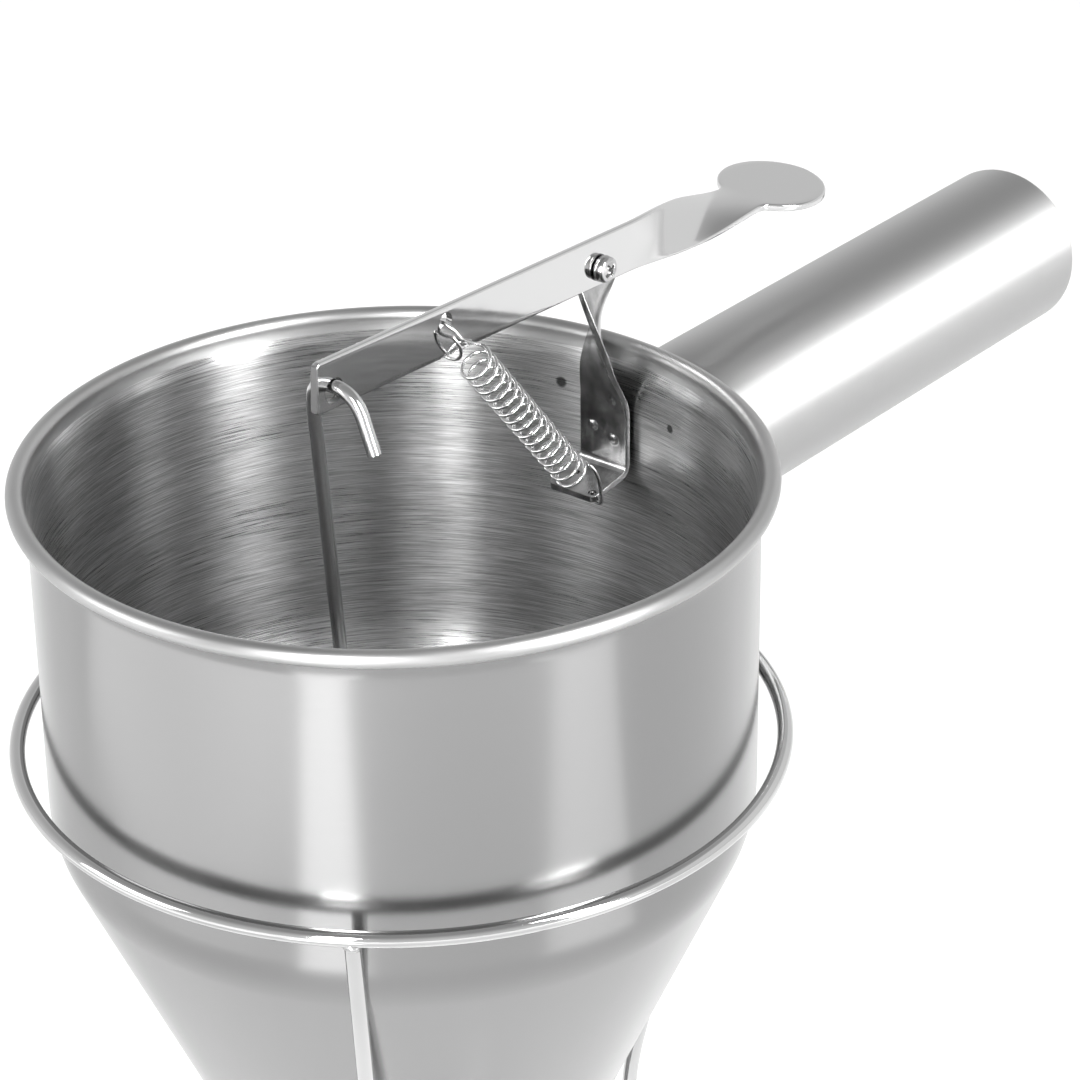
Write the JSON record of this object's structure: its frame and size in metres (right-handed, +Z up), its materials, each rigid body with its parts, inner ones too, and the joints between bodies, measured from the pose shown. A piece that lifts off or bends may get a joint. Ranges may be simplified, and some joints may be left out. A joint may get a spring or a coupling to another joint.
{
  "type": "sauce dispenser",
  "caption": "Hand-held steel sauce funnel with a tube handle, a twisted thumb lever that lifts a plug valve on a wire rod against a coil spring, and a round wire stand.",
  "frame": {"origin": "middle of the whole object's footprint box, on the table under the stand", "axes": "+X along the handle, away from the funnel; +Z up, along the funnel's axis; +Y to the far side, where the lever's nut is; the screw's head faces -Y"},
  "size_m": [0.3154, 0.165, 0.2972],
  "materials": {
    "stand_wire": "bright polished stainless steel wire",
    "funnel_sheet": "satin outside, finely brushed round the inside",
    "spout_metal": "turned satin stainless steel",
    "handle_metal": "smooth satin stainless steel tube",
    "bracket_strip": "polished stainless steel strip",
    "fastener": "bright stainless steel",
    "spring_wire": "bright spring wire",
    "lever_strip": "polished stainless steel strip",
    "rod_wire": "polished stainless steel wire",
    "plug_metal": "turned stainless steel"
  },
  "bodies": {
    "stand": {"stand_top_ring": "stand_wire", "stand_leg_1": "stand_wire", "stand_leg_2": "stand_wire", "stand_leg_3": "stand_wire", "stand_base_ring": "stand_wire"},
    "funnel": {"funnel_cylinder": "funnel_sheet", "funnel_cone": "funnel_sheet", "spout_tube": "spout_metal", "handle_tube": "handle_metal", "handle_end_cap": "handle_metal", "pivot_bracket": "bracket_strip", "pivot_screw": "fastener", "spring_washer": "fastener", "pivot_nut": "fastener", "return_spring": "spring_wire"},
    "lever": {"thumb_lever": "lever_strip"},
    "rod": {"valve_rod": "rod_wire", "valve_plug": "plug_metal"}
  },
  "joints": [
    {"name": "funnel_lift", "type": "slide", "parent": "stand", "child": "funnel", "axis": [0, 0, 1], "range_m": [0, 0.25]},
    {"name": "lever_press", "type": "hinge", "parent": "funnel", "child": "lever", "pos_m": [-0.00775, 0, 0.28613], "axis": [0, 1, 0], "range_deg": [0, 21], "stiffness_Nm_per_rad": 0.4, "springref_deg": -25.78, "deforming": ["return_spring"]},
    {"name": "rod_swing", "type": "hinge", "parent": "lever", "child": "rod", "pos_m": [-0.09313, 0, 0.29071], "axis": [0, 1, 0], "range_deg": [-20.4, 0]}
  ],
  "couplings": [
    {"joint": "rod_swing", "follows": "lever_press", "ratio": -0.97}
  ]
}
